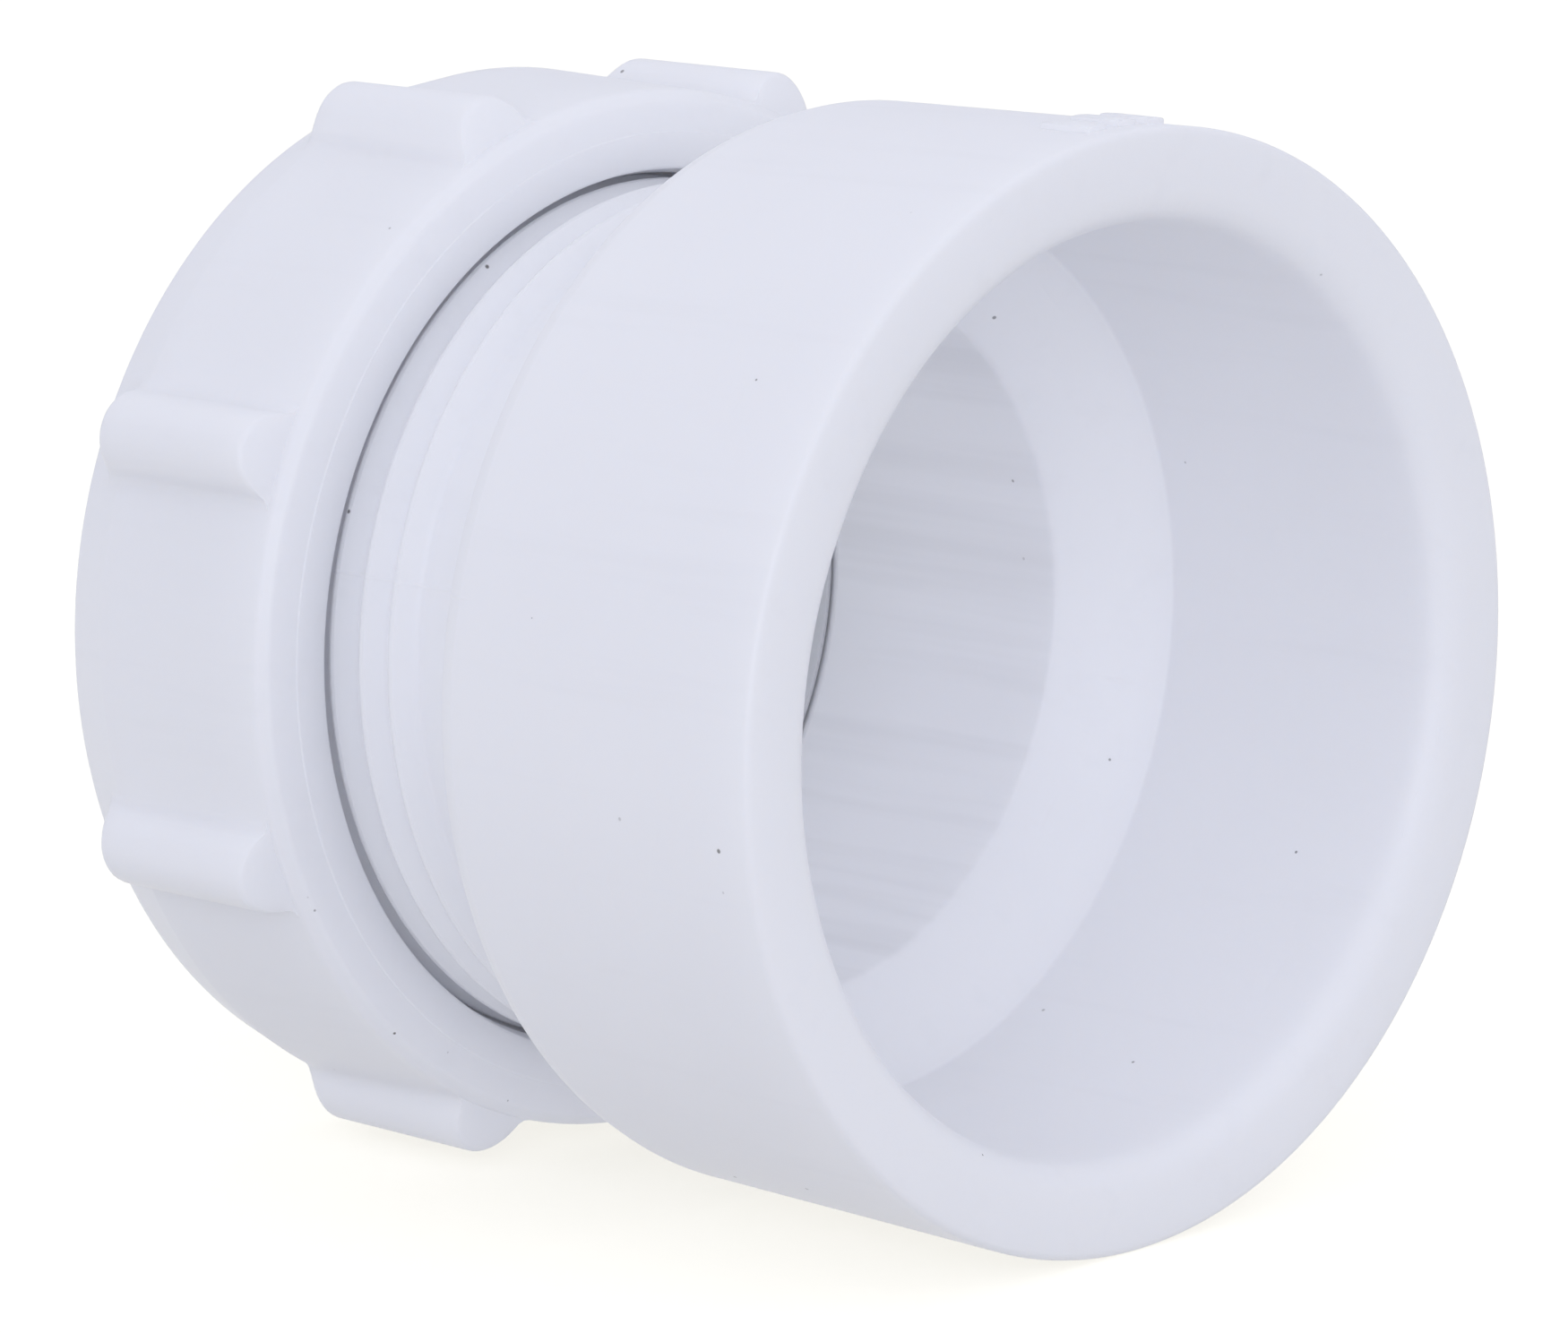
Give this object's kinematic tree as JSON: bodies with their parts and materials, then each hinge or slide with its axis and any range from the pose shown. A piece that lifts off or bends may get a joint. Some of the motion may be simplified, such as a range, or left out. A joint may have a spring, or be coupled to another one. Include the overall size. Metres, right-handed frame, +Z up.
{
  "type": "slip-joint trap adapter",
  "caption": "White plastic drain pipe adapter with a smooth glue-in socket hub, a threaded neck and a lugged slip nut over a beveled washer.",
  "frame": {"origin": "pipe stop: centre of the hub socket where its wall ends, 18.9 mm behind the mouth", "axes": "+X out of the hub's mouth along the common axis, +Z up as the fitting lies on its side, -X towards the slip nut"},
  "size_m": [0.0509, 0.058, 0.0583],
  "materials": {
    "pvc_body": "semi-matte moulded PVC",
    "pvc_nut": "semi-matte moulded PVC",
    "poly_washer": "smooth polyethylene"
  },
  "bodies": {
    "adapter_body": {"adapter_body": "pvc_body"},
    "slip_washer": {"slip_washer": "poly_washer"},
    "slip_nut": {"slip_nut": "pvc_nut"}
  },
  "joints": [
    {"name": "washer_slide", "type": "slide", "parent": "adapter_body", "child": "slip_washer", "axis": [-1, 0, 0], "range_m": [0, 0.0078]},
    {"name": "nut_spin", "type": "hinge", "parent": "slip_washer", "child": "slip_nut", "pos_m": [-0.0241, 0, 0], "axis": [-1, 0, 0], "range_deg": [0, 1260]}
  ],
  "couplings": [
    {"joint": "washer_slide", "follows": "nut_spin", "m_per_rad": 0.00035152}
  ]
}
